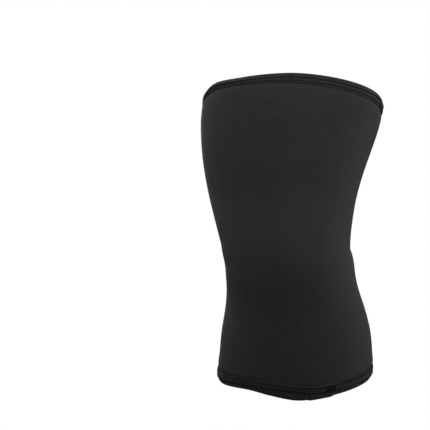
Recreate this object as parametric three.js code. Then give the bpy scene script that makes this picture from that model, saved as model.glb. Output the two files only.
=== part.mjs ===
// A padded knee sleeve: a moulded neoprene tube with a tape binding folded over each rim.
// The origin is in the middle of the knee, level with the crease behind it.
// +Z runs up the leg, -Y is the kneecap side and +Y the back of the knee.
import * as THREE from 'three';

const { lerp, smoothstep, degToRad, radToDeg } = THREE.MathUtils;

// Driving dimensions: millimetres, and degrees for the angles
const thighWidth = 174;
const thighDepth = 176;
const thighLength = 140;
const thighTilt = 15.3;
const kneeWidth = 119;
const kneeDepth = 136;
const calfWidth = 147;
const calfDepth = 140;
const calfLength = 125.5;
const calfTilt = 10;
const rimWave = 5;

const wallThickness = 7;
const tapeWidth = 12;
const tapeThickness = 1;
const seatClearance = 0.3;
const shoulderLength = 1.2;
const lapLength = 20;
const lapRise = 0.8;
const lapEdge = 0.6;
const thighLapBearing = -110;
const calfLapBearing = 27;

// How finely the curved surfaces are cut into faces
const columnCount = 52;
const outerRows = 13;
const innerRows = 9;
const rowCrowding = 1.35;
const foldSteps = 4;

// How the skin is measured: small steps along the leg and round it, and the stretch next to a rim.
// The steps along it are shares of an end's half, and the one round it is in radians.
const alongStep = 0.004;
const turnStep = 0.01;
const rimStretch = 0.08;
// The rims' wave fades along the leg with this power, and columns keep this many lap edges from a lap's step
const waveFade = 3;
const lapMargin = 3;

// Sections of the outer skin. along runs from -1 at the calf rim through 0 at the crease to 1 at the thigh rim.
// left, right: how far the skin reaches to -X and +X, as shares of the width there.
// front, back: how far it reaches to the kneecap side and behind, as shares of the depth there.
// frontFull, backFull: 2 is an ellipse, and more is a fuller, squarer curve.
const sections = [
  { along: -1.00, left: 0.470, right: 0.531, front: 0.168, back: 0.676, frontFull: 2.0, backFull: 2.1 },
  { along: -0.93, left: 0.476, right: 0.549, front: 0.204, back: 0.699, frontFull: 2.0, backFull: 2.1 },
  { along: -0.82, left: 0.468, right: 0.552, front: 0.232, back: 0.719, frontFull: 2.0, backFull: 2.1 },
  { along: -0.65, left: 0.466, right: 0.559, front: 0.277, back: 0.723, frontFull: 2.0, backFull: 2.1 },
  { along: -0.48, left: 0.460, right: 0.548, front: 0.317, back: 0.702, frontFull: 2.0, backFull: 2.1 },
  { along: -0.32, left: 0.461, right: 0.528, front: 0.386, back: 0.648, frontFull: 2.0, backFull: 2.2 },
  { along: -0.20, left: 0.466, right: 0.524, front: 0.455, back: 0.598, frontFull: 2.1, backFull: 2.2 },
  { along: -0.10, left: 0.474, right: 0.523, front: 0.489, back: 0.554, frontFull: 2.1, backFull: 2.3 },
  { along: -0.04, left: 0.486, right: 0.513, front: 0.501, back: 0.523, frontFull: 2.1, backFull: 2.3 },
  { along: 0.00, left: 0.493, right: 0.501, front: 0.503, back: 0.515, frontFull: 2.1, backFull: 2.3 },
  { along: 0.04, left: 0.499, right: 0.497, front: 0.502, back: 0.534, frontFull: 2.1, backFull: 2.3 },
  { along: 0.10, left: 0.515, right: 0.493, front: 0.491, back: 0.564, frontFull: 2.1, backFull: 2.3 },
  { along: 0.20, left: 0.531, right: 0.487, front: 0.454, back: 0.604, frontFull: 2.1, backFull: 2.2 },
  { along: 0.35, left: 0.544, right: 0.477, front: 0.408, back: 0.656, frontFull: 2.0, backFull: 2.2 },
  { along: 0.55, left: 0.529, right: 0.479, front: 0.408, back: 0.661, frontFull: 2.0, backFull: 2.1 },
  { along: 0.75, left: 0.499, right: 0.493, front: 0.405, back: 0.637, frontFull: 2.0, backFull: 2.1 },
  { along: 0.90, left: 0.475, right: 0.507, front: 0.382, back: 0.615, frontFull: 2.0, backFull: 2.1 },
  { along: 1.00, left: 0.455, right: 0.507, front: 0.346, back: 0.594, frontFull: 2.0, backFull: 2.1 },
];

// The two rims, by bearing in degrees from the front towards +X.
// thighWave, calfWave: how far the rim runs out past its flat plane, as shares of rimWave.
// thighTape, calfTape: how wide the tape shows, as shares of tapeWidth.
const rims = [
  { bearing: -180, thighWave: 0.00, thighTape: 1.00, calfWave: 0.00, calfTape: 1.00 },
  { bearing: -95, thighWave: -0.10, thighTape: 0.97, calfWave: 0.20, calfTape: 1.02 },
  { bearing: -66, thighWave: -0.12, thighTape: 0.84, calfWave: 0.32, calfTape: 1.04 },
  { bearing: -48, thighWave: 0.18, thighTape: 0.72, calfWave: 0.04, calfTape: 1.08 },
  { bearing: -28, thighWave: 0.18, thighTape: 0.71, calfWave: -0.18, calfTape: 1.20 },
  { bearing: -10, thighWave: 0.30, thighTape: 0.82, calfWave: 0.32, calfTape: 1.28 },
  { bearing: 8, thighWave: 0.44, thighTape: 0.86, calfWave: 0.92, calfTape: 1.30 },
  { bearing: 28, thighWave: 0.34, thighTape: 0.90, calfWave: 0.60, calfTape: 1.24 },
  { bearing: 48, thighWave: 0.22, thighTape: 0.92, calfWave: 0.26, calfTape: 1.14 },
  { bearing: 70, thighWave: 0.14, thighTape: 0.96, calfWave: 0.05, calfTape: 1.08 },
  { bearing: 100, thighWave: 0.05, thighTape: 1.00, calfWave: 0.00, calfTape: 1.02 },
  { bearing: 180, thighWave: 0.00, thighTape: 1.00, calfWave: 0.00, calfTape: 1.00 },
];

// A smooth curve through a table's rows, which gives all its other columns at any value of the first
function curveThrough(rows) {
  const [key, ...columns] = Object.keys(rows[0]);
  const curve = new THREE.CubicInterpolant(
    rows.map((row) => row[key]),
    rows.flatMap((row) => columns.map((name) => row[name])),
    columns.length,
  );
  return (value) => {
    const found = curve.evaluate(value);
    return Object.fromEntries(columns.map((name, column) => [name, found[column]]));
  };
}

const sectionAt = curveThrough(sections);
const rimAt = curveThrough(rims);

// The two ends. side is the sign of along there.
const thighEnd = {
  side: 1,
  width: thighWidth,
  depth: thighDepth,
  length: thighLength,
  tilt: thighTilt,
  wave: 'thighWave',
  tape: 'thighTape',
  lapBearing: thighLapBearing,
};
const calfEnd = {
  side: -1,
  width: calfWidth,
  depth: calfDepth,
  length: calfLength,
  tilt: calfTilt,
  wave: 'calfWave',
  tape: 'calfTape',
  lapBearing: calfLapBearing,
};

// The angle round the leg, from +X towards +Y, of a bearing counted from the front towards +X
const angleOfBearing = (bearing) => degToRad(bearing - 90);

// The bearing of an angle, from -180 to 180
function bearingOfAngle(angle) {
  const turned = angle + Math.PI / 2;
  return radToDeg(Math.atan2(Math.sin(turned), Math.cos(turned)));
}

const signedPower = (value, power) => Math.sign(value) * Math.abs(value) ** power;

// A point of the outer skin
function skinPoint(along, angle) {
  const { left, right, front, back, frontFull, backFull } = sectionAt(along);
  const end = along > 0 ? thighEnd : calfEnd;
  const share = Math.abs(along);
  const blend = smoothstep(share, 0, 1);
  const width = lerp(kneeWidth, end.width, blend);
  const depth = lerp(kneeDepth, end.depth, blend);
  const power = 2 / (Math.sin(angle) < 0 ? frontFull : backFull);
  const across = signedPower(Math.cos(angle), power);
  const deep = signedPower(Math.sin(angle), power);
  const middle = depth * (back - front) / 2;
  const x = width * (right - left + (right + left) * across) / 2;
  const y = middle + depth * (back + front) / 2 * deep;
  const flat = share * end.length - Math.tan(degToRad(end.tilt * share)) * (y - middle);
  const wave = rimWave * rimAt(bearingOfAngle(angle))[end.wave] * share ** waveFade;
  return new THREE.Vector3(x, y, end.side * (flat + wave));
}

// A point of the outer skin with its direction up the leg and its direction outwards
function skinFrame(along, angle) {
  const high = Math.min(along + alongStep, 1);
  const low = Math.max(along - alongStep, -1);
  const up = skinPoint(high, angle).sub(skinPoint(low, angle)).normalize();
  const round = skinPoint(along, angle + turnStep).sub(skinPoint(along, angle - turnStep));
  const out = new THREE.Vector3().crossVectors(round, up).normalize();
  return { point: skinPoint(along, angle), up, out };
}

// The share of an end's half that is left inside a distance from its rim, measured on the skin
function shareInside(end, distance, angle) {
  const rim = skinPoint(end.side, angle);
  const rate = rim.distanceTo(skinPoint(end.side * (1 - rimStretch), angle)) / rimStretch;
  return 1 - distance / rate;
}

// A point of the wall near a rim: distance in from the rim, depth below the outer skin
function wallPoint(end, distance, depth, angle) {
  const inside = Math.max(distance, 0);
  const frame = skinFrame(end.side * shareInside(end, inside, angle), angle);
  return frame.point
    .addScaledVector(frame.out, -depth)
    .addScaledVector(frame.up, end.side * (inside - distance));
}

// A point of the wall between the two bindings: place runs from -1 to 1, from shoulder to shoulder
function bodyPoint(place, depth, angle) {
  const end = place > 0 ? thighEnd : calfEnd;
  const frame = skinFrame(place * shareInside(end, shoulderDistance(end, angle), angle), angle);
  return frame.point.addScaledVector(frame.out, -depth);
}

// Sizes of the wall's edge that follow from the tape on it
const recess = tapeThickness + seatClearance;
const foldMiddle = wallThickness / 2;
const tapeReach = (end, angle) => tapeWidth * rimAt(bearingOfAngle(angle))[end.tape];
const recessDistance = (end, angle) => tapeReach(end, angle) + seatClearance;
const shoulderDistance = (end, angle) => recessDistance(end, angle) + shoulderLength;

// A half circle round the middle of the wall's edge, from the outer side to the inner one
function foldArc(radius) {
  return Array.from({ length: foldSteps + 1 }, (_, step) => {
    const turn = Math.PI * step / foldSteps;
    return [foldMiddle - radius * Math.sin(turn), foldMiddle - radius * Math.cos(turn)];
  });
}

// The foam's edge under the tape at one angle, from the outer shoulder to the inner one
function foamEdge(end, angle) {
  const profile = [
    [shoulderDistance(end, angle), 0],
    [recessDistance(end, angle), recess],
    ...foldArc(foldMiddle - recess),
    [recessDistance(end, angle), wallThickness - recess],
    [shoulderDistance(end, angle), wallThickness],
  ];
  return profile.map(([distance, depth]) => wallPoint(end, distance, depth, angle));
}

// The tape's closed section at one angle, folded over the edge. rise is the second layer where its ends lap.
function tapeSection(end, angle, rise) {
  const reach = tapeReach(end, angle);
  const profile = [
    [reach, -rise],
    ...foldArc(foldMiddle + rise),
    [reach, wallThickness + rise],
    [reach, wallThickness - tapeThickness],
    ...foldArc(foldMiddle - tapeThickness).reverse(),
    [reach, tapeThickness],
  ];
  return profile.map(([distance, depth]) => wallPoint(end, distance, depth, angle));
}

// Places between the shoulders, closest together at the crease
function bodyPlaces(count) {
  const half = Array.from({ length: count - 1 }, (_, step) => ((step + 1) / count) ** rowCrowding);
  return [...half.map((place) => -place).reverse(), 0, ...half];
}

// Joins closed sections of the wall, one after another round the leg, into one closed body
function closedBody(wallSections) {
  const count = wallSections[0].length;
  const positions = wallSections.flat().flatMap((point) => point.toArray());
  const index = [];
  wallSections.forEach((_, section) => {
    const next = (section + 1) % wallSections.length;
    for (let corner = 0; corner < count; corner += 1) {
      const beyond = (corner + 1) % count;
      const here = section * count;
      const there = next * count;
      index.push(here + corner, there + corner, there + beyond, here + corner, there + beyond, here + beyond);
    }
  });
  const geometry = new THREE.BufferGeometry();
  geometry.setAttribute('position', new THREE.Float32BufferAttribute(positions, 3));
  geometry.setIndex(index);
  geometry.computeVertexNormals();
  return geometry;
}

const columnAngles = Array.from({ length: columnCount }, (_, column) => 2 * Math.PI * column / columnCount);

// The padded tube, recessed under each tape
function sleeveGeometry() {
  return closedBody(columnAngles.map((angle) => [
    ...bodyPlaces(outerRows).map((place) => bodyPoint(place, 0, angle)),
    ...foamEdge(thighEnd, angle),
    ...bodyPlaces(innerRows).reverse().map((place) => bodyPoint(place, wallThickness, angle)),
    ...foamEdge(calfEnd, angle).reverse(),
  ]));
}

// Angles round one rim, with the two steps of the tape's lap put in, and the second layer's rise at each
function lapColumns(end) {
  const middle = angleOfBearing(end.lapBearing);
  const rate = skinPoint(end.side, middle + turnStep).distanceTo(skinPoint(end.side, middle)) / turnStep;
  const half = lapLength / 2 / rate;
  const edge = lapEdge / rate;
  const steps = [
    { angle: middle - half - edge, rise: 0 },
    { angle: middle - half, rise: lapRise },
    { angle: middle + half, rise: lapRise },
    { angle: middle + half + edge, rise: 0 },
  ];
  const offsetOf = (angle) => Math.atan2(Math.sin(angle - middle), Math.cos(angle - middle));
  const plain = columnAngles
    .filter((angle) => Math.abs(Math.abs(offsetOf(angle)) - half) > lapMargin * edge)
    .map((angle) => ({ angle, rise: Math.abs(offsetOf(angle)) < half ? lapRise : 0 }));
  return [...steps, ...plain].sort((a, b) => offsetOf(a.angle) - offsetOf(b.angle));
}

// The tape folded over one rim
function bindingGeometry(end) {
  const tapeSections = lapColumns(end).map(({ angle, rise }) => tapeSection(end, angle, rise));
  return closedBody(end.side > 0 ? tapeSections : tapeSections.reverse());
}

const neopreneMaterial = new THREE.MeshStandardMaterial({ color: '#2b2b2c', roughness: 0.85, metalness: 0 });
const tapeMaterial = new THREE.MeshStandardMaterial({ color: '#24241f', roughness: 0.7, metalness: 0 });

function namedMesh(name, geometry, material) {
  const mesh = new THREE.Mesh(geometry, material);
  mesh.name = name;
  return mesh;
}

const kneeSleeve = new THREE.Group();
kneeSleeve.add(
  namedMesh('neoprene_shell', sleeveGeometry(), neopreneMaterial),
  namedMesh('top_binding', bindingGeometry(thighEnd), tapeMaterial),
  namedMesh('bottom_binding', bindingGeometry(calfEnd), tapeMaterial),
);

export default kneeSleeve;
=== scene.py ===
"""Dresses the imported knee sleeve: its knitted face, the ribbed tape folded over each rim, and the sewing.

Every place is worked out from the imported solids. Lengths are in metres, +Z runs up the leg and -Y is the
kneecap side. Bearings are in degrees from the back of the knee, towards +X.
"""

import math

import bmesh
import bpy
import numpy as np
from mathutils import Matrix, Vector


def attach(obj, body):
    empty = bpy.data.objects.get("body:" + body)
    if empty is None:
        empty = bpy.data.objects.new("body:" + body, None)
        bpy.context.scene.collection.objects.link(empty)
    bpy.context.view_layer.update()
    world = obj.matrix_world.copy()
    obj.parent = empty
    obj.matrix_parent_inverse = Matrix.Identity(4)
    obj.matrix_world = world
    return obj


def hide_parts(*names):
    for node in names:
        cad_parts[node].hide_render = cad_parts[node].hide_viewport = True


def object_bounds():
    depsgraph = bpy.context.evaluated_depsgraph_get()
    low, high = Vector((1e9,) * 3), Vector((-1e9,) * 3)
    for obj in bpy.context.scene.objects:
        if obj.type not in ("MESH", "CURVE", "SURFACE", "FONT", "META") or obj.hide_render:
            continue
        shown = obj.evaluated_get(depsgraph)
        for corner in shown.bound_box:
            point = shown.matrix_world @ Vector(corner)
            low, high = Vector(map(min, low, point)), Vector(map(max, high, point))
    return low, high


MM = 0.001

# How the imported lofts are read
WELD = 0.01 * MM
EDGE_CORNERS = 4  # corners from the tip of the foam's edge to its shoulder
LINING_CORNERS = 7  # corners of the tape's side that lies on the foam

# How finely the new surfaces are cut
BODY_COLUMN = 2.6 * MM
BODY_ROW = 2.4 * MM
LINING_ROW = 2 * BODY_ROW
CREASE_ROW = 1.1 * MM
CREASE_BAND = 10 * MM  # how far above and below the crease the fine rows go
SEAM_COLUMN = 0.45 * MM
TAPE_COLUMN = 0.7 * MM
TAPE_ROW = 0.6 * MM
SPLINE_RUN_ON = 3  # corners that a loop is run on by, so that its spline closes smoothly
READ_RUN_ON = 12  # columns that a tape is run on by, so that a stitch can cross its start

# The body's relief
CREASE_DEPTH = 1.3 * MM
CREASE_WIDTH = 2.4 * MM
CREASE_SPREAD = 62  # degrees either side of the back
SHOULDER_DROP = 0.55 * MM  # how far the face falls away towards a tape
SHOULDER_RUN = 3.2 * MM

# Soft swells all over the body, as two crossed waves. crests: how many go round the leg, slope: radians for
# each metre up it, phase: radians.
SWELL = 0.22 * MM
SWELL_WAVES = [
    {"crests": 2, "slope": 31, "phase": 0},
    {"crests": 3, "slope": -47, "phase": 1},
]

# Where the thigh and the knee swell a little at the sides. height above the crease, width and rise in
# millimetres, middle a bearing, spread in degrees.
SWELLINGS = [
    {"height": 44, "width": 36, "middle": -100, "spread": 50, "rise": 2.0},
    {"height": 12, "width": 75, "middle": 80, "spread": 50, "rise": 1.0},
]

# Wrinkles behind the knee. offset: how far above the crease, bend: how far it runs away from the crease at
# the sides, both in millimetres. depth and width in millimetres, middle a bearing, reach in degrees.
WRINKLES = [
    {"offset": 9, "bend": 9, "depth": 0.55, "width": 3.0, "middle": -6, "reach": 46},
    {"offset": 19, "bend": 13, "depth": 0.30, "width": 4.2, "middle": 9, "reach": 40},
    {"offset": -9, "bend": -8, "depth": 0.50, "width": 3.2, "middle": 5, "reach": 44},
    {"offset": -20, "bend": -12, "depth": 0.28, "width": 4.4, "middle": -8, "reach": 38},
]

# Where a rim reaches a little further out. side: 1 for the top rim and -1 for the bottom one, shift in
# millimetres, middle a bearing, spread in degrees.
RIM_SHIFTS = [
    {"side": 1, "middle": -105, "spread": 22, "shift": 2.4},
    {"side": -1, "middle": -64, "spread": 25, "shift": 3.4},
    {"side": -1, "middle": 60, "spread": 18, "shift": 2.2},
]
SHIFT_RUN = 40 * MM  # from the rim to where the shift has faded away

# The tapes: name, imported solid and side
TAPES = [("top_tape", "top_binding", 1), ("bottom_tape", "bottom_binding", -1)]
TAPE_THICKNESS = 1.0 * MM
UNDERSIDE_GAP = 0.05 * MM
FOLD_RADIUS = 3.5 * MM
TAPE_EDGE = 0.35 * MM  # how far the tape's cut edge is rounded
EDGE_SHARE = 0.35  # the rounding's value at the edge itself, against 1 where it ends
PILLOW = 0.40 * MM  # how far the tape swells up between its rows of stitches

# The lap of a tape's two ends
LAP_HALF = 10 * MM
LAP_STEP = 2.4 * MM
LAP_RISE = 0.8 * MM

# Where a tape's outer edge reaches further onto the foam. rise in millimetres, middle a bearing, spread in
# degrees.
EDGE_RISES = {
    "top_tape": [],
    "bottom_tape": [
        {"middle": 165, "spread": 42, "rise": 2.9},
        {"middle": -70, "spread": 26, "rise": -1.2},
    ],
}
EDGE_REACH = 5 * MM  # the most that an edge may rise
CLIMB = 0.8 * MM  # from the foam's step up onto its face
CLIMB_RUN = 1.8 * MM

# The rows of stitches
STITCH_PITCH = 3.4 * MM
STITCH_LENGTH = 2.5 * MM
FIRST_ROW = {"top_tape": 2.1 * MM, "bottom_tape": 1.2 * MM}  # from the tape's edge
ROW_SPACING = 6.2 * MM
ROW_SHARE = 0.75  # where the tape shows narrow, the second row's share of its flat width
STITCH_PULL = 0.42 * MM  # how far a row of stitches is drawn into the tape
GROOVE_WIDTH = 0.9 * MM
LEAST_PULL = 0.45  # the share of the pull that is left under the middle of a stitch

# The thread
THREAD_RADIUS = 0.50 * MM
THREAD_POINTS = 7
THREAD_SIDES = 6
THREAD_ARCH = 1.35  # radii that the middle of a thread rises above its ends
THREAD_SINK = 0.9  # radii that the ends lie under the cloth
THREAD_TAPER = 0.55  # the share of its radius that a thread has at its ends

# The bar of stitches across a lap
BARTACK_LEGS = 6
BARTACK_WIDTH = 9 * MM
BARTACK_SHIFT = -8 * MM  # from the middle of the lap
BARTACK_MARGIN = 0.8 * MM

# The seam up the back
SEAM_HALF = 1.5 * MM
SEAM_STEP = 1.5 * MM
SEAM_DEPTH = 0.45 * MM
SEAM_BAND = 3 * SEAM_HALF  # how far to either side the fine columns go


def bearing(points):
    """The bearing of points round the leg."""
    return np.degrees(np.arctan2(points[..., 0], points[..., 1]))


def radius_of(points):
    """How far points lie from the frame's upright axis."""
    return np.hypot(points[..., 0], points[..., 1])


def off_middle(from_back, middle, spread):
    """How many spreads a bearing lies from a middle, the short way round the leg."""
    return ((from_back - middle + 180) % 360 - 180) / spread


def bump(distance, width):
    """A smooth hump, 1 in the middle and nearly 0 past twice the width."""
    return np.exp(-((distance / width) ** 2))


def eased(share):
    """A share from 0 to 1 that starts and ends softly."""
    return share**2 * (3 - 2 * share)


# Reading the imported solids


def welded(node):
    """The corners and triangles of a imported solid, with corners at one place made one."""
    shape = bmesh.new()
    shape.from_mesh(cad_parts[node].data)
    bmesh.ops.remove_doubles(shape, verts=shape.verts, dist=WELD)
    bmesh.ops.triangulate(shape, faces=shape.faces)
    corners = np.array([v.co for v in shape.verts])
    triangles = [[v.index for v in face.verts] for face in shape.faces]
    shape.free()
    return corners, triangles


def packed_loft(node):
    """A packed loft as an array of sections round the leg from the back, each a closed loop of corners.

    Every corner of a loft has six neighbours, so straight lines of corners can be followed through it.
    """
    corners, triangles = welded(node)
    third = {}
    for a, b, c in triangles:
        third[a, b] = c
        third[b, c] = a
        third[c, a] = b

    def turned(centre, spoke, steps):
        """The neighbour that lies some triangles further round a corner."""
        for _ in range(steps):
            spoke = third[spoke, centre]
        return spoke

    def straight(first, second):
        """The closed line of corners that goes straight on from two of them."""
        line = [first, second]
        while True:
            onward = turned(line[-1], line[-2], 3)
            if onward == first:
                return line
            line.append(onward)

    def spread(line):
        """How far a line goes round the leg: nearly 0 for a section, 1 for a whole turn."""
        angle = np.radians(bearing(corners[line]))
        return 1 - np.hypot(np.cos(angle).mean(), np.sin(angle).mean())

    spokes = [b for a, b in third if a == 0]
    section = min((straight(0, spoke) for spoke in spokes), key=spread)

    def beside(line, steps):
        """The line next to a line, reached some triangles round each of its corners."""
        return [turned(a, b, steps) for a, b in zip(line, line[1:] + line[:1])]

    def stride(steps):
        """How far the line beside the section lies from it, over all corners."""
        return np.linalg.norm(corners[beside(section, steps)] - corners[section], axis=1).sum()

    across = min((1, 2), key=stride)
    sections = [section]
    while len(sections) * len(section) < len(corners):
        sections.append(beside(sections[-1], across))
    loft = corners[np.array(sections)]
    turns = np.diff(np.unwrap(np.radians(bearing(loft.mean(axis=1)))))
    if turns.sum() < 0:
        loft = loft[::-1]
    back = np.argmin(np.abs(bearing(loft.mean(axis=1))))
    return np.roll(loft, -back, axis=0)


def from_tip(loft, tip):
    """The loft with its loops starting at a corner and going along the outer side first."""
    loft = np.roll(loft, -tip, axis=1)
    if radius_of(loft[:, 1]).mean() < radius_of(loft[:, -1]).mean():
        loft = np.roll(loft[:, ::-1], 1, axis=1)
    return loft


def with_rims_moved(loft, sides):
    """The loft with the rims on the given sides let out a little, fading away from the rim."""
    from_back = bearing(loft.mean(axis=1))
    heights = loft[..., 2].copy()
    for part in RIM_SHIFTS:
        side = part["side"]
        if side in sides:
            shift = part["shift"] * MM * bump(off_middle(from_back, part["middle"], part["spread"]), 1)
            outwards = side * heights
            from_rim = outwards.max(axis=1)[:, None] - outwards
            share = np.clip(1 - from_rim / SHIFT_RUN, 0, 1)
            loft[..., 2] += side * shift[:, None] * eased(share)
    return loft


# Lengths, smooth curves and surfaces through arrays of points


def lengths_along(points):
    """Running length along the first axis, averaged over the others."""
    steps = np.linalg.norm(np.diff(points, axis=0), axis=-1)
    return np.concatenate([[0], np.cumsum(steps.reshape(len(steps), -1).mean(axis=1))])


def lengths_round(points):
    """Running length round a closed first axis, and the whole length."""
    closed = lengths_along(np.concatenate([points, points[:1]]))
    return closed[:-1], closed[-1]


def row_lengths(grid):
    """Running length over a grid's rows, averaged over its columns."""
    return lengths_along(np.swapaxes(grid, 0, 1))


def column_runs(grid):
    """Running length over a grid's rows, for each column by itself."""
    steps = np.linalg.norm(np.diff(grid, axis=1), axis=-1)
    return np.concatenate([np.zeros((len(grid), 1)), np.cumsum(steps, axis=1)], axis=1)


def run_on(values, count, period=0):
    """Values round a closed loop, run on by a count past both ends, a period more for each time round."""
    return np.concatenate([values[-count:] - period, values, values[:count] + period])


def spline(values, knots, at):
    """Values at new places of a smooth curve through the given ones, along the first axis."""
    steps = np.diff(knots).reshape(-1, *[1] * (values.ndim - 1))
    rates = np.diff(values, axis=0) / steps
    inner = (rates[:-1] * steps[1:] + rates[1:] * steps[:-1]) / (steps[:-1] + steps[1:])
    slopes = np.concatenate([rates[:1], inner, rates[-1:]])
    place = np.clip(np.searchsorted(knots, at, side="right") - 1, 0, len(knots) - 2)
    step = steps[place]
    t = (at - knots[place]).reshape(step.shape) / step
    return (
        values[place] * (1 + 2 * t) * (1 - t) ** 2
        + slopes[place] * step * t * (1 - t) ** 2
        + values[place + 1] * t**2 * (3 - 2 * t)
        + slopes[place + 1] * step * t**2 * (t - 1)
    )


def looped_spline(values, knots, period, at):
    """The same for a closed loop that comes round again after a period."""
    return spline(run_on(values, SPLINE_RUN_ON), run_on(knots, SPLINE_RUN_ON, period), at)


def with_rows_at(grid, at):
    """The grid with new rows, at the given lengths over its old ones."""
    return np.swapaxes(spline(np.swapaxes(grid, 0, 1), row_lengths(grid), at), 0, 1)


def evenly(start, end, step):
    """Places from start to end, about a step apart, both ends included."""
    return np.linspace(start, end, max(2, round(abs(end - start) / step) + 1))


def crowded(start, end, step, middle, half, fine):
    """Places from start to end, closer together within a half width of the middle."""
    low, high = middle - half, middle + half
    parts = [evenly(start, low, step), evenly(low, high, fine)[1:], evenly(high, end, step)[1:]]
    return np.concatenate(parts)


def normals_of(grid):
    """Unit normals of a grid, columns round the leg and then rows, outwards at its first row."""
    round_way = np.roll(grid, -1, axis=0) - np.roll(grid, 1, axis=0)
    normals = np.cross(np.gradient(grid, axis=1), round_way)
    normals /= np.linalg.norm(normals, axis=-1, keepdims=True)
    outwards = (normals[:, 0, :2] * grid[:, 0, :2]).sum(axis=-1).mean()
    return normals if outwards > 0 else -normals


# Making objects

FACE_CORNERS = [(0, 0), (0, 1), (1, 1), (1, 0)]  # steps along the two ways of a grid


def placed(name, data):
    """A new object in the scene that shows the given data."""
    made = bpy.data.objects.new(name, data)
    bpy.context.scene.collection.objects.link(made)
    return made


def smooth_object(name, points, faces, places, material):
    """A smooth-shaded mesh of four-cornered faces.

    For each of the four corners, faces holds every face's point there, and places that corner's place on
    the cloth, in metres.
    """
    mesh = bpy.data.meshes.new(name)
    faces = np.stack(faces, axis=-1).reshape(-1, len(FACE_CORNERS))
    mesh.from_pydata(points.reshape(-1, 3).tolist(), [], faces.tolist())
    layer = mesh.uv_layers.new(name="cloth")
    layer.data.foreach_set("uv", np.stack(places, axis=-2).astype(np.float32).ravel())
    mesh.polygons.foreach_set("use_smooth", np.ones(len(mesh.polygons), bool))
    mesh.materials.append(material)
    mesh.update()
    return placed(name, mesh)


def closed_skin(name, grid, round_places, material):
    """A closed body through a grid: columns round the leg, each a closed loop of rows."""
    columns, rows = grid.shape[:2]
    row_places = row_lengths(np.concatenate([grid, grid[:, :1]], axis=1))
    column, row = np.meshgrid(np.arange(columns), np.arange(rows), indexing="ij")
    faces, places = [], []
    for a, b in FACE_CORNERS:
        faces.append((column + a) % columns * rows + (row + b) % rows)
        places.append(np.stack([round_places[column + a], row_places[row + b]], axis=-1))
    skin = smooth_object(name, grid, faces, places, material)
    turn_outwards(skin)
    return skin


def turn_outwards(made):
    """Turns every face of a closed body outwards."""
    shape = bmesh.new()
    shape.from_mesh(made.data)
    if shape.calc_volume(signed=True) < 0:
        bmesh.ops.reverse_faces(shape, faces=shape.faces)
    shape.to_mesh(made.data)
    shape.free()


def surface_reader(grid, normals, column_places):
    """A function from a length round the leg and a length over the rows to the point and normal there.

    It also gives the whole length over the rows. A negative length over the rows counts from their end.
    """
    row_places = column_runs(grid)
    rows = np.arange(grid.shape[1])

    def read(around, along):
        column = np.interp(around, column_places, np.arange(len(grid)))
        low = min(int(column), len(grid) - 2)
        blend = column - low
        runs = row_places[low] * (1 - blend) + row_places[low + 1] * blend
        row = np.interp(along if along >= 0 else runs[-1] + along, runs, rows)
        under = min(int(row), grid.shape[1] - 2)
        lift = row - under

        def mixed(values):
            near = values[low, under] * (1 - lift) + values[low, under + 1] * lift
            far = values[low + 1, under] * (1 - lift) + values[low + 1, under + 1] * lift
            return near * (1 - blend) + far * blend

        return mixed(grid), mixed(normals), runs[-1]

    return read


def thread_rings(stitch, read):
    """The rings of points round a short thread that dips into the cloth at both ends, and their lengths."""
    around_a, along_a, around_b, along_b = stitch
    shares = np.linspace(0, 1, THREAD_POINTS)
    line, outs = [], []
    for share in shares:
        around = around_a + (around_b - around_a) * share
        along = along_a + (along_b - along_a) * share
        point, out, _ = read(around, along)
        line.append(point)
        outs.append(out)
    line, outs = np.array(line), np.array(outs)
    arch = np.sin(math.pi * shares)[:, None] ** 0.5
    line = line + outs * THREAD_RADIUS * (THREAD_ARCH * arch - THREAD_SINK)
    ways = np.gradient(line, axis=0)
    ways /= np.linalg.norm(ways, axis=1, keepdims=True)
    sides = np.cross(ways, outs)
    sides /= np.linalg.norm(sides, axis=1, keepdims=True)
    ups = np.cross(sides, ways)
    turn = np.arange(THREAD_SIDES)[:, None] * 2 * math.pi / THREAD_SIDES
    ring = sides[:, None] * np.cos(turn) + ups[:, None] * np.sin(turn)
    radius = THREAD_RADIUS * (THREAD_TAPER + (1 - THREAD_TAPER) * arch)
    return line[:, None] + ring * radius[:, None], lengths_along(line)


def thread_object(name, stitches, read, material):
    """Short threads as one object, each a closed tube. A stitch is two places, one after the other."""
    threads = [thread_rings(stitch, read) for stitch in stitches]
    points = np.array([rings for rings, _ in threads])
    lengths = np.array([runs for _, runs in threads])
    stitch, ring, side = np.meshgrid(
        np.arange(len(stitches)), np.arange(THREAD_POINTS - 1), np.arange(THREAD_SIDES), indexing="ij"
    )
    faces, places = [], []
    for a, b in FACE_CORNERS:
        faces.append((stitch * THREAD_POINTS + ring + a) * THREAD_SIDES + (side + b) % THREAD_SIDES)
        places.append(np.stack([lengths[stitch, ring + a], (side + b) / THREAD_SIDES * MM], axis=-1))
    made = smooth_object(name, points, faces, places, material)
    close_ends(made)
    return made


def close_ends(made):
    """Closes the open ends of each thread and turns every face outwards."""
    shape = bmesh.new()
    shape.from_mesh(made.data)
    bmesh.ops.holes_fill(shape, edges=shape.edges, sides=THREAD_SIDES)
    bmesh.ops.recalc_face_normals(shape, faces=shape.faces)
    shape.to_mesh(made.data)
    shape.free()


# The body


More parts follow.
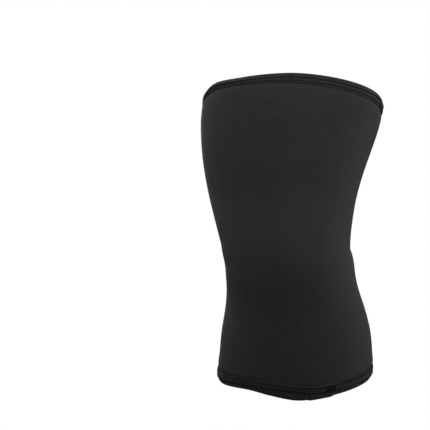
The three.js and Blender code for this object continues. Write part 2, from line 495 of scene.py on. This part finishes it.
def body_relief(grid, along, crease):
    """How far the body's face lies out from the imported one."""
    from_back = bearing(grid)
    height = np.broadcast_to(along - crease, from_back.shape)
    relief = -CREASE_DEPTH * bump(height, CREASE_WIDTH) * bump(from_back, CREASE_SPREAD)
    for wrinkle in WRINKLES:
        turn = (from_back - wrinkle["middle"]) / wrinkle["reach"]
        line = (wrinkle["offset"] + wrinkle["bend"] * turn**2) * MM
        relief -= wrinkle["depth"] * MM * bump(height - line, wrinkle["width"] * MM) * bump(turn, 1)
    for swelling in SWELLINGS:
        turn = (from_back - swelling["middle"]) / swelling["spread"]
        rise = (height / MM - swelling["height"]) / swelling["width"]
        relief += swelling["rise"] * MM * bump(rise, 1) * bump(turn, 1)
    to_rim = np.minimum(along - along[0], along[-1] - along)
    relief -= SHOULDER_DROP * np.clip(1 - to_rim / SHOULDER_RUN, 0, 1) ** 2
    angle = np.radians(from_back)
    swell = SWELL
    for wave in SWELL_WAVES:
        swell = swell * np.sin(wave["crests"] * angle + height * wave["slope"] + wave["phase"])
    relief += swell
    from_seam = from_back * radius_of(grid) * math.pi / 180
    relief -= SEAM_DEPTH * bump(from_seam, SEAM_HALF)
    return relief


def make_body(material):
    """The padded tube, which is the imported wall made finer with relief, and a reader of its face."""
    loft = with_rims_moved(packed_loft("neoprene_shell"), (1, -1))
    loft = from_tip(loft, np.argmin(loft[..., 2].mean(axis=0)))
    top = np.argmax(loft[..., 2].mean(axis=0))
    knots, girth = lengths_round(loft)
    half = girth / 2
    around = crowded(-half, half, BODY_COLUMN, 0, SEAM_BAND, SEAM_COLUMN)[:-1]
    columns = looped_spline(loft, knots, girth, np.where(around < 0, around + girth, around))

    outer = columns[:, EDGE_CORNERS : top - EDGE_CORNERS + 1]
    reach = row_lengths(outer)
    crease = reach[len(reach) // 2]
    along = crowded(0, reach[-1], BODY_ROW, crease, CREASE_BAND, CREASE_ROW)
    face = with_rows_at(outer, along)
    face = face + normals_of(face) * body_relief(face, along, crease)[..., None]

    thigh_edge = columns[:, top - EDGE_CORNERS + 1 : top + EDGE_CORNERS]
    inner = columns[:, top + EDGE_CORNERS : loft.shape[1] - EDGE_CORNERS + 1]
    lining = with_rows_at(inner, evenly(0, row_lengths(inner)[-1], LINING_ROW))
    calf_edge = np.roll(columns, EDGE_CORNERS - 1, axis=1)[:, : 2 * EDGE_CORNERS - 1]
    grid = np.concatenate([face, thigh_edge, lining, calf_edge], axis=1)

    body = closed_skin("neoprene_body", grid, np.append(around, half), material)
    return body, surface_reader(face, normals_of(face), around)


# The tapes and their sewing


def tape_lining(node, side):
    """A tape's underside, from its outer edge to its inner one, and how thick the outer edge is."""
    loft = with_rims_moved(packed_loft(node), (side,))
    loft = from_tip(loft, np.argmax(side * loft[..., 2].mean(axis=0)))
    middle = loft.shape[1] // 2
    half = LINING_CORNERS // 2
    lining = loft[:, middle - half : middle + half + 1]
    thickness = np.linalg.norm(loft[:, half] - lining[:, 0], axis=-1)
    return lining, thickness


def lap_middle(knots, girth, thickness):
    """The length round the rim at the middle of the tape's lap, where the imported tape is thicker."""
    thick = knots[thickness > thickness.min() + LAP_RISE / 2]
    angle = thick * 2 * math.pi / girth
    middle = math.atan2(np.sin(angle).mean(), np.cos(angle).mean())
    return middle % (2 * math.pi) / (2 * math.pi) * girth


def edge_rise(base, parts):
    """How much further onto the foam the tape's outer edge reaches, for each column."""
    from_back = bearing(base[:, 0])
    rise = np.zeros(len(base))
    for part in parts:
        rise += part["rise"] * MM * bump(off_middle(from_back, part["middle"], part["spread"]), 1)
    return rise


def with_edge_moved(base, rise):
    """The tape's underside with its outer edge let up or down the foam."""
    moved = []
    for line, runs, shift in zip(base, column_runs(base), rise):
        beyond = line[0] + (line[0] - line[1]) / runs[1] * EDGE_REACH
        places = np.linspace(-shift, runs[-1], len(line))
        knots = np.append(-EDGE_REACH, runs)
        corners = np.concatenate([[beyond], line])
        moved.append([np.interp(places, knots, values) for values in corners.T])
    return np.swapaxes(np.array(moved), 1, 2)


def stitch_pitch(girth):
    """The pitch that fits a whole number of stitches round the rim."""
    return girth / round(girth / STITCH_PITCH)


def row_places_of(first, total):
    """How far the two rows of stitches lie from the tape's edge, for a whole width of tape."""
    flat = (total - math.pi * FOLD_RADIUS) / 2
    return first, np.minimum(first + ROW_SPACING, ROW_SHARE * flat)


def tape_relief(base, around, girth, lap, first, rise):
    """How far the tape's face lies out from its underside."""
    runs = column_runs(base)
    total = runs[:, -1:]
    to_edge = np.minimum(runs, total - runs)
    from_lap = np.abs((around - lap + girth / 2) % girth - girth / 2)[:, None]
    overlap = np.clip((LAP_HALF + LAP_STEP - from_lap) / LAP_STEP, 0, 1)
    relief = TAPE_THICKNESS + LAP_RISE * eased(overlap)
    relief = relief * np.clip(EDGE_SHARE + (1 - EDGE_SHARE) * to_edge / TAPE_EDGE, 0, 1) ** 0.5

    beat = 0.5 + 0.5 * np.cos(2 * math.pi * around / stitch_pitch(girth))[:, None]
    pull = STITCH_PULL * (LEAST_PULL + (1 - LEAST_PULL) * beat)
    first, second = row_places_of(first, total)
    for row in (first, second):
        relief -= pull * bump(to_edge - row, GROOVE_WIDTH)

    climb = np.clip(1 - (runs - rise[:, None]) / CLIMB_RUN, 0, 1)
    relief += CLIMB * np.clip(rise / CLIMB_RUN, 0, 1)[:, None] * eased(climb)
    between = np.clip((to_edge - first) / (second - first), 0, 1)
    relief += PILLOW * np.sin(math.pi * between) ** 2
    return relief


def tape_stitches(read, girth, lap, first):
    """Two rows outside and two inside, and the zigzag that ties the lap."""
    pitch = stitch_pitch(girth)
    stitches = []
    for count in range(round(girth / pitch)):
        start = (count + 0.5) * pitch - STITCH_LENGTH / 2
        end = start + STITCH_LENGTH
        for row in row_places_of(first, read(start, 0)[2]):
            stitches.append((start, row, end, row))
            stitches.append((start, -row, end, -row))
    low = BARTACK_MARGIN
    high = row_places_of(first, read(lap, 0)[2])[1] + BARTACK_MARGIN
    step = BARTACK_WIDTH / BARTACK_LEGS
    for leg in range(BARTACK_LEGS):
        place = lap + BARTACK_SHIFT - BARTACK_WIDTH / 2 + leg * step
        start, end = (low, high) if leg % 2 else (high, low)
        stitches.append((place, start, place + step, end))
    return stitches


def make_tape(name, node, side, material, thread):
    """The tape folded over a rim, with its rows of stitches and the bartack on its lap."""
    lining, thickness = tape_lining(node, side)
    knots, girth = lengths_round(lining)
    lap = lap_middle(knots, girth, thickness)
    columns = round(girth / TAPE_COLUMN)
    around = np.arange(columns) * girth / columns
    base = looped_spline(lining, knots, girth, around)
    base = with_rows_at(base, evenly(0, row_lengths(base)[-1], TAPE_ROW))
    rise = edge_rise(base, EDGE_RISES[name])
    base = with_edge_moved(base, rise)

    out = normals_of(base)
    first = FIRST_ROW[name]
    face = base + out * tape_relief(base, around, girth, lap, first, rise)[..., None]
    underside = base + out * UNDERSIDE_GAP
    grid = np.concatenate([face, underside[:, ::-1]], axis=1)
    tape = closed_skin(name, grid, np.append(around, girth), material)

    places = run_on(around, READ_RUN_ON, girth)
    read = surface_reader(run_on(face, READ_RUN_ON), run_on(out, READ_RUN_ON), places)
    sewn = tape_stitches(read, girth, lap, first)
    stitches = thread_object(name.replace("tape", "stitches"), sewn, read, thread)
    return tape, stitches


def make_back_seam(read, thread):
    """The flat zigzag that joins the tube's two edges up the back."""
    length = read(0, 0)[2]
    legs = math.ceil(length / SEAM_STEP)
    step = length / legs
    stitches = []
    for leg in range(legs):
        side = SEAM_HALF if leg % 2 else -SEAM_HALF
        stitches.append((-side, leg * step, side, leg * step + step))
    return thread_object("back_seam", stitches, read, thread)


# Materials

# The knitted jersey. A shade is two stops, each a place on the scale and a colour.
WALE = 0.72 * MM
WALE_POWER = 0.6
COURSE = 0.62 * MM
COURSE_BOW = COURSE * 0.5
COURSE_SHARE = 0.6
JERSEY_FUZZ = {"scale": 2600, "detail": 3}
JERSEY_FUZZ_SHARE = 0.7
FINE_BLOTCHES = {"scale": 120, "detail": 4, "roughness": 0.6}
BROAD_BLOTCHES = {"scale": 22, "detail": 2}
FINE_SHARE = 0.6
JERSEY_SHADE = [(0.30, (0.0195, 0.0195, 0.0200)), (0.70, (0.0265, 0.0265, 0.0270))]
JERSEY_RELIEF = 0.16 * MM
JERSEY_FINISH = {
    "Roughness": 0.9,
    "Sheen Weight": 0.12,
    "Sheen Roughness": 0.5,
    "Specular IOR Level": 0.2,
}

# The ribbed tape
RIB = 1.15 * MM
RIB_POWER = 0.7
PICK = RIB * 0.5
PICK_SHARE = 0.35
TAPE_FUZZ = {"scale": 2200, "detail": 2}
TAPE_FUZZ_SHARE = 0.5
TAPE_BLOTCHES = {"scale": 260, "detail": 4, "roughness": 0.6}
TAPE_SHADE = [(0.3, (0.0170, 0.0168, 0.0148)), (0.7, (0.0255, 0.0252, 0.0225))]
TAPE_RELIEF = 0.22 * MM
TAPE_FINISH = {
    "Roughness": 0.8,
    "Sheen Weight": 0.10,
    "Sheen Roughness": 0.4,
    "Specular IOR Level": 0.25,
}

# The thread
TWIST = 0.45 * MM
THREAD_FUZZ = {"scale": 3000, "detail": 2}
THREAD_FUZZ_SHARE = 0.4
THREAD_BLOTCHES = {"scale": 700, "detail": 2}
THREAD_SHADE = [(0.3, (0.0022, 0.0022, 0.0020)), (0.7, (0.0058, 0.0058, 0.0053))]
THREAD_RELIEF = 0.08 * MM
THREAD_FINISH = {"Roughness": 0.85, "Specular IOR Level": 0.12}


class Nodes:
    """Short names for the few shader nodes that the cloths are made of."""

    def __init__(self, name):
        self.material = bpy.data.materials.new(name)
        self.material.use_nodes = True
        self.tree = self.material.node_tree
        self.shader = self.tree.nodes["Principled BSDF"]

    def put(self, socket, value):
        """Links a node's output to a socket, or sets the socket to a plain value."""
        if hasattr(value, "is_output"):
            self.tree.links.new(value, socket)
        else:
            socket.default_value = value

    def add(self, kind, **inputs):
        """A new node with its inputs put in."""
        node = self.tree.nodes.new(kind)
        for socket, value in inputs.items():
            self.put(node.inputs[socket], value)
        return node

    def math(self, operation, *values):
        """The result of an operation on values."""
        node = self.tree.nodes.new("ShaderNodeMath")
        node.operation = operation
        for socket, value in zip(node.inputs, values):
            self.put(socket, value)
        return node.outputs[0]

    def wave(self, length, period):
        """A wave from 0 to 1 along a length."""
        turns = self.math("MULTIPLY_ADD", length, 2 * math.pi / period, 0.0)
        return self.math("MULTIPLY_ADD", self.math("COSINE", turns), 0.5, 0.5)

    def cloth_place(self):
        """The two lengths on the cloth: round the leg and along it."""
        place = self.tree.nodes.new("ShaderNodeUVMap")
        place.uv_map = "cloth"
        parts = self.add("ShaderNodeSeparateXYZ", Vector=place.outputs[0])
        return parts.outputs[0], parts.outputs[1]

    def noise(self, scale, detail, roughness=0.5):
        """Uneven values from about 0 to 1 through the whole object."""
        place = self.tree.nodes.new("ShaderNodeTexCoord")
        node = self.add("ShaderNodeTexNoise", Scale=scale, Detail=detail, Roughness=roughness)
        self.tree.links.new(place.outputs["Object"], node.inputs["Vector"])
        return node.outputs["Fac"]

    def ramp(self, value, stops):
        """The colour at a value between stops."""
        node = self.tree.nodes.new("ShaderNodeValToRGB")
        for element, (place, colour) in zip(node.color_ramp.elements, stops):
            element.position = place
            element.color = (*colour, 1)
        self.tree.links.new(value, node.inputs[0])
        return node.outputs[0]

    def finish(self, colour, height, distance, constants):
        """The material, with a colour, a relief of some depth and the shader's constants."""
        self.put(self.shader.inputs["Base Color"], colour)
        relief = self.add("ShaderNodeBump", Height=height, Distance=distance)
        self.put(self.shader.inputs["Normal"], relief.outputs[0])
        for socket, value in constants.items():
            self.shader.inputs[socket].default_value = value
        return self.material


def knit_material():
    """Matt black jersey: fine upright wales crossed by bowed courses, with a faint uneven shade."""
    cloth = Nodes("knit_jersey")
    around, along = cloth.cloth_place()
    wale = cloth.wave(around, WALE)
    course = cloth.wave(cloth.math("MULTIPLY_ADD", wale, COURSE_BOW, along), COURSE)
    ridges = cloth.math("POWER", wale, WALE_POWER)
    notches = cloth.math("MULTIPLY_ADD", course, COURSE_SHARE, 1 - COURSE_SHARE)
    loops = cloth.math("MULTIPLY", ridges, notches)
    height = cloth.math("MULTIPLY_ADD", cloth.noise(**JERSEY_FUZZ), JERSEY_FUZZ_SHARE, loops)
    fine = cloth.noise(**FINE_BLOTCHES)
    broad = cloth.math("MULTIPLY", cloth.noise(**BROAD_BLOTCHES), 1 - FINE_SHARE)
    blotches = cloth.math("MULTIPLY_ADD", fine, FINE_SHARE, broad)
    return cloth.finish(cloth.ramp(blotches, JERSEY_SHADE), height, JERSEY_RELIEF, JERSEY_FINISH)


def tape_material():
    """Dull olive black tape with fine ribs across it."""
    cloth = Nodes("ribbed_tape")
    around, along = cloth.cloth_place()
    ribs = cloth.wave(around, RIB)
    picks = cloth.wave(along, PICK)
    weave = cloth.math("MULTIPLY_ADD", picks, PICK_SHARE, cloth.math("POWER", ribs, RIB_POWER))
    height = cloth.math("MULTIPLY_ADD", cloth.noise(**TAPE_FUZZ), TAPE_FUZZ_SHARE, weave)
    shade = cloth.ramp(cloth.noise(**TAPE_BLOTCHES), TAPE_SHADE)
    return cloth.finish(shade, height, TAPE_RELIEF, TAPE_FINISH)


def thread_material():
    """Near-black twisted thread."""
    cloth = Nodes("sewing_thread")
    length, turn = cloth.cloth_place()
    twist = cloth.wave(cloth.math("MULTIPLY_ADD", turn, TWIST / MM, length), TWIST)
    height = cloth.math("MULTIPLY_ADD", cloth.noise(**THREAD_FUZZ), THREAD_FUZZ_SHARE, twist)
    shade = cloth.ramp(cloth.noise(**THREAD_BLOTCHES), THREAD_SHADE)
    return cloth.finish(shade, height, THREAD_RELIEF, THREAD_FINISH)


# Floor, lights and camera

FLOOR_DROP = 0.22
FLOOR_HALF = 6
FLOOR_GREY = 0.3
FLOOR_ROUGHNESS = 0.9
SOFT_LIGHT = 0.01
CAMERA_DISTANCE = 1.300
CAMERA_AZIMUTH = 7.16  # degrees
CAMERA_HEIGHT = 0.1451
CAMERA_AIM = (-0.0670, 0, 0.0310)
CAMERA_FOCAL = 1392.6  # in pixels of the 430-pixel frame
FRAME_PIXELS = 430
SENSOR = 36  # millimetres


def look_at(made, place, aim):
    """Puts a camera or a light at a place, facing another."""
    made.location = place
    made.rotation_euler = (Vector(aim) - made.location).to_track_quat("-Z", "Y").to_euler()


def make_camera():
    """The camera, a little to the right of the kneecap and above it."""
    data = bpy.data.cameras.new("camera")
    data.sensor_width = SENSOR
    data.lens = CAMERA_FOCAL / FRAME_PIXELS * SENSOR
    camera = placed("camera", data)
    turn = math.radians(CAMERA_AZIMUTH)
    place = (CAMERA_DISTANCE * math.sin(turn), -CAMERA_DISTANCE * math.cos(turn), CAMERA_HEIGHT)
    look_at(camera, place, CAMERA_AIM)
    bpy.context.scene.camera = camera


def make_light(name, place, size, power, colour, aim=(0, 0, 0)):
    """An oblong light that the camera doesn't see, its power in watts."""
    data = bpy.data.lights.new(name, "AREA")
    data.shape = "RECTANGLE"
    data.size, data.size_y = size
    data.energy = power
    data.color = colour
    light = placed(name, data)
    look_at(light, place, aim)
    light.visible_camera = False


def make_lights():
    """Soft lights in front, and brighter ones that graze both sides."""
    make_light("key", (0.10, -0.60, 0.36), (0.3, 0.3), 1.65, (1.0, 1.0, 0.96))
    make_light("right_key", (0.35, -0.50, 0.40), (0.3, 0.3), 1.05, (1.0, 1.0, 1.0))
    make_light("left_key", (-0.25, -0.50, 0.38), (0.3, 0.3), 0.7, (1.0, 1.0, 1.0))
    make_light("right_side", (1.5, 0.0, 0.0), (0.4, 1.4), 6.2, (0.94, 0.96, 1.0))
    make_light("right_edge", (0.85, 0.7, -0.25), (0.3, 0.7), 3.2, (0.68, 0.62, 1.0))
    make_light("left_side", (-1.5, -0.3, 0.3), (0.4, 1.4), 1.3, (0.95, 0.95, 1.0))
    make_light("left_top", (-0.7, 0.6, 0.9), (0.3, 0.5), 2.2, (1.0, 0.97, 0.92))
    make_light("left_above", (-0.55, -0.05, 1.1), (0.3, 0.3), 1.0, (1.0, 1.0, 0.97), (-0.07, 0, 0.15))
    make_light("left_edge", (-0.66, 1.3, 0.45), (0.3, 0.8), 6.5, (1.0, 0.93, 0.80))
    make_light("back_fill", (0.4, 1.2, 0.9), (0.6, 0.6), 2.0, (1.0, 1.0, 1.0))


def split_for_camera(tree, ending, others_see, camera_sees):
    """Ends a node tree in one shader for the camera and another for everything else."""
    rays = tree.nodes.new("ShaderNodeLightPath")
    mix = tree.nodes.new("ShaderNodeMixShader")
    tree.links.new(rays.outputs["Is Camera Ray"], mix.inputs[0])
    tree.links.new(others_see.outputs[0], mix.inputs[1])
    tree.links.new(camera_sees.outputs[0], mix.inputs[2])
    tree.links.new(mix.outputs[0], tree.nodes[ending].inputs[0])


def make_world():
    """A white backdrop for the camera, and a dim soft light for the sleeve."""
    world = bpy.data.worlds.new("studio")
    bpy.context.scene.world = world
    world.use_nodes = True
    tree = world.node_tree
    soft = tree.nodes["Background"]
    soft.inputs["Color"].default_value = (1, 1, 1, 1)
    soft.inputs["Strength"].default_value = SOFT_LIGHT
    white = tree.nodes.new("ShaderNodeBackground")
    white.inputs["Color"].default_value = (1, 1, 1, 1)
    white.inputs["Strength"].default_value = 1.0
    split_for_camera(tree, "World Output", soft, white)


def make_floor(low):
    """A grey floor well below the sleeve, which the camera sees as white."""
    mesh = bpy.data.meshes.new("floor")
    half = FLOOR_HALF
    corners = [(-half, -half, low), (half, -half, low), (half, half, low), (-half, half, low)]
    mesh.from_pydata(corners, [], [(0, 1, 2, 3)])
    material = bpy.data.materials.new("floor")
    material.use_nodes = True
    tree = material.node_tree
    grey = tree.nodes["Principled BSDF"]
    grey.inputs["Base Color"].default_value = (FLOOR_GREY, FLOOR_GREY, FLOOR_GREY, 1)
    grey.inputs["Roughness"].default_value = FLOOR_ROUGHNESS
    split_for_camera(tree, "Material Output", grey, tree.nodes.new("ShaderNodeEmission"))
    mesh.materials.append(material)
    floor = placed("floor", mesh)


def plain_box(corners):
    """A box's two corners as plain lists."""
    return [list(corner) for corner in corners]


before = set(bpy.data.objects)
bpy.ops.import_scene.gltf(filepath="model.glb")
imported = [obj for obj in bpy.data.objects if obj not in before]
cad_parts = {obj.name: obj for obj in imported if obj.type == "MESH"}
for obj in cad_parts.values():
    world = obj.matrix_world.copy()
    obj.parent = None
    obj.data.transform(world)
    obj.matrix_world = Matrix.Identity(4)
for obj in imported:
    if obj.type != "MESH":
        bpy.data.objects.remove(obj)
cad_box = plain_box(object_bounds())

knit = knit_material()
tape_cloth = tape_material()
thread = thread_material()
body, body_face = make_body(knit)
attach(body, "root")
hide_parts("neoprene_shell")

for tape_name, tape_node, tape_side in TAPES:
    tape, stitches = make_tape(tape_name, tape_node, tape_side, tape_cloth, thread)
    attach(tape, "root")
    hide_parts(tape_node)
    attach(stitches, "root")

seam = make_back_seam(body_face, thread)
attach(seam, "root")

make_floor(cad_box[0][2] - FLOOR_DROP)
make_world()
make_lights()
make_camera()
bpy.context.scene.view_settings.view_transform = "Standard"
